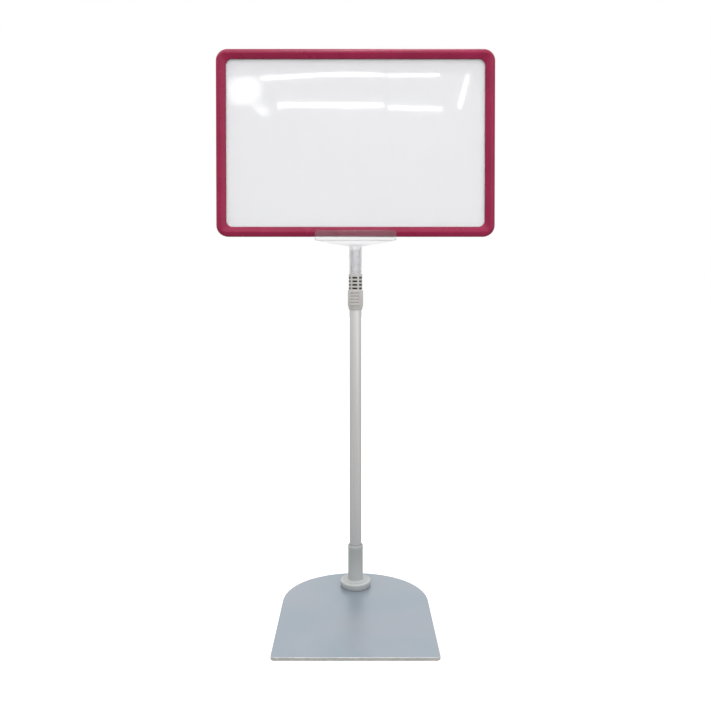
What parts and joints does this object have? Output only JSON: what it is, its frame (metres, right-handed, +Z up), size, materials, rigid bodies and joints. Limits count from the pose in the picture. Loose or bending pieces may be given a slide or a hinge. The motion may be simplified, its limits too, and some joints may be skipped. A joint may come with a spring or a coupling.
{
  "type": "sign stand",
  "caption": "Table-top telescopic sign stand: steel foot, clamped two-part pole, swivelling clear T-piece and a rounded frame with a slide-in card pocket.",
  "frame": {"origin": "middle of the foot plate's underside", "axes": "+Z up along the pole, -Y towards the viewer of the sign (front), +X to the viewer's right"},
  "size_m": [0.291, 0.1778, 0.5658],
  "materials": {
    "plate_steel": "bluish zinc plating on smooth sheet steel",
    "grey_moulding": "semi-matt light grey moulding",
    "bright_steel": "zinc-plated fastener",
    "tube_aluminium": "satin drawn tube with faint lengthwise lines",
    "inner_aluminium": "satin drawn tube",
    "lock_plastic": "semi-matt warm grey moulding",
    "black_rubber": "matt black",
    "bush_plastic": "natural white moulding",
    "clear_plastic": "clear glossy moulding",
    "crimson_plastic": "glossy crimson moulding",
    "clear_sheet": "clear glossy sheet, slightly buckled",
    "white_card": "plain white card"
  },
  "bodies": {
    "base": {"base_plate": "plate_steel", "base_socket": "grey_moulding", "base_screw": "bright_steel", "base_nut": "bright_steel", "outer_tube": "tube_aluminium", "lock_cage": "lock_plastic", "grip_liner": "black_rubber"},
    "collar": {"lock_collar": "lock_plastic"},
    "mast": {"inner_tube": "inner_aluminium", "guide_bush": "bush_plastic", "tube_cap": "bush_plastic"},
    "head": {"t_holder": "clear_plastic", "front_frame": "crimson_plastic", "rear_frame": "crimson_plastic"},
    "pocket": {"card_pocket": "clear_sheet"},
    "card": {"sign_card": "white_card"}
  },
  "joints": [
    {"name": "pole_slide", "type": "slide", "parent": "base", "child": "mast", "axis": [0, 0, 1], "range_m": [0, 0.238]},
    {"name": "head_swivel", "type": "hinge", "parent": "mast", "child": "head", "pos_m": [0, 0.057, 0.36], "axis": [0, 0, 1], "continuous": true},
    {"name": "collar_slide", "type": "slide", "parent": "base", "child": "collar", "axis": [0, 0, 1], "range_m": [0, 0.0055]},
    {"name": "pocket_slide", "type": "slide", "parent": "head", "child": "pocket", "axis": [0, 0, 1], "range_m": [0, 0.185]},
    {"name": "card_slide", "type": "slide", "parent": "pocket", "child": "card", "axis": [0, 0, 1], "range_m": [0, 0.18]}
  ]
}
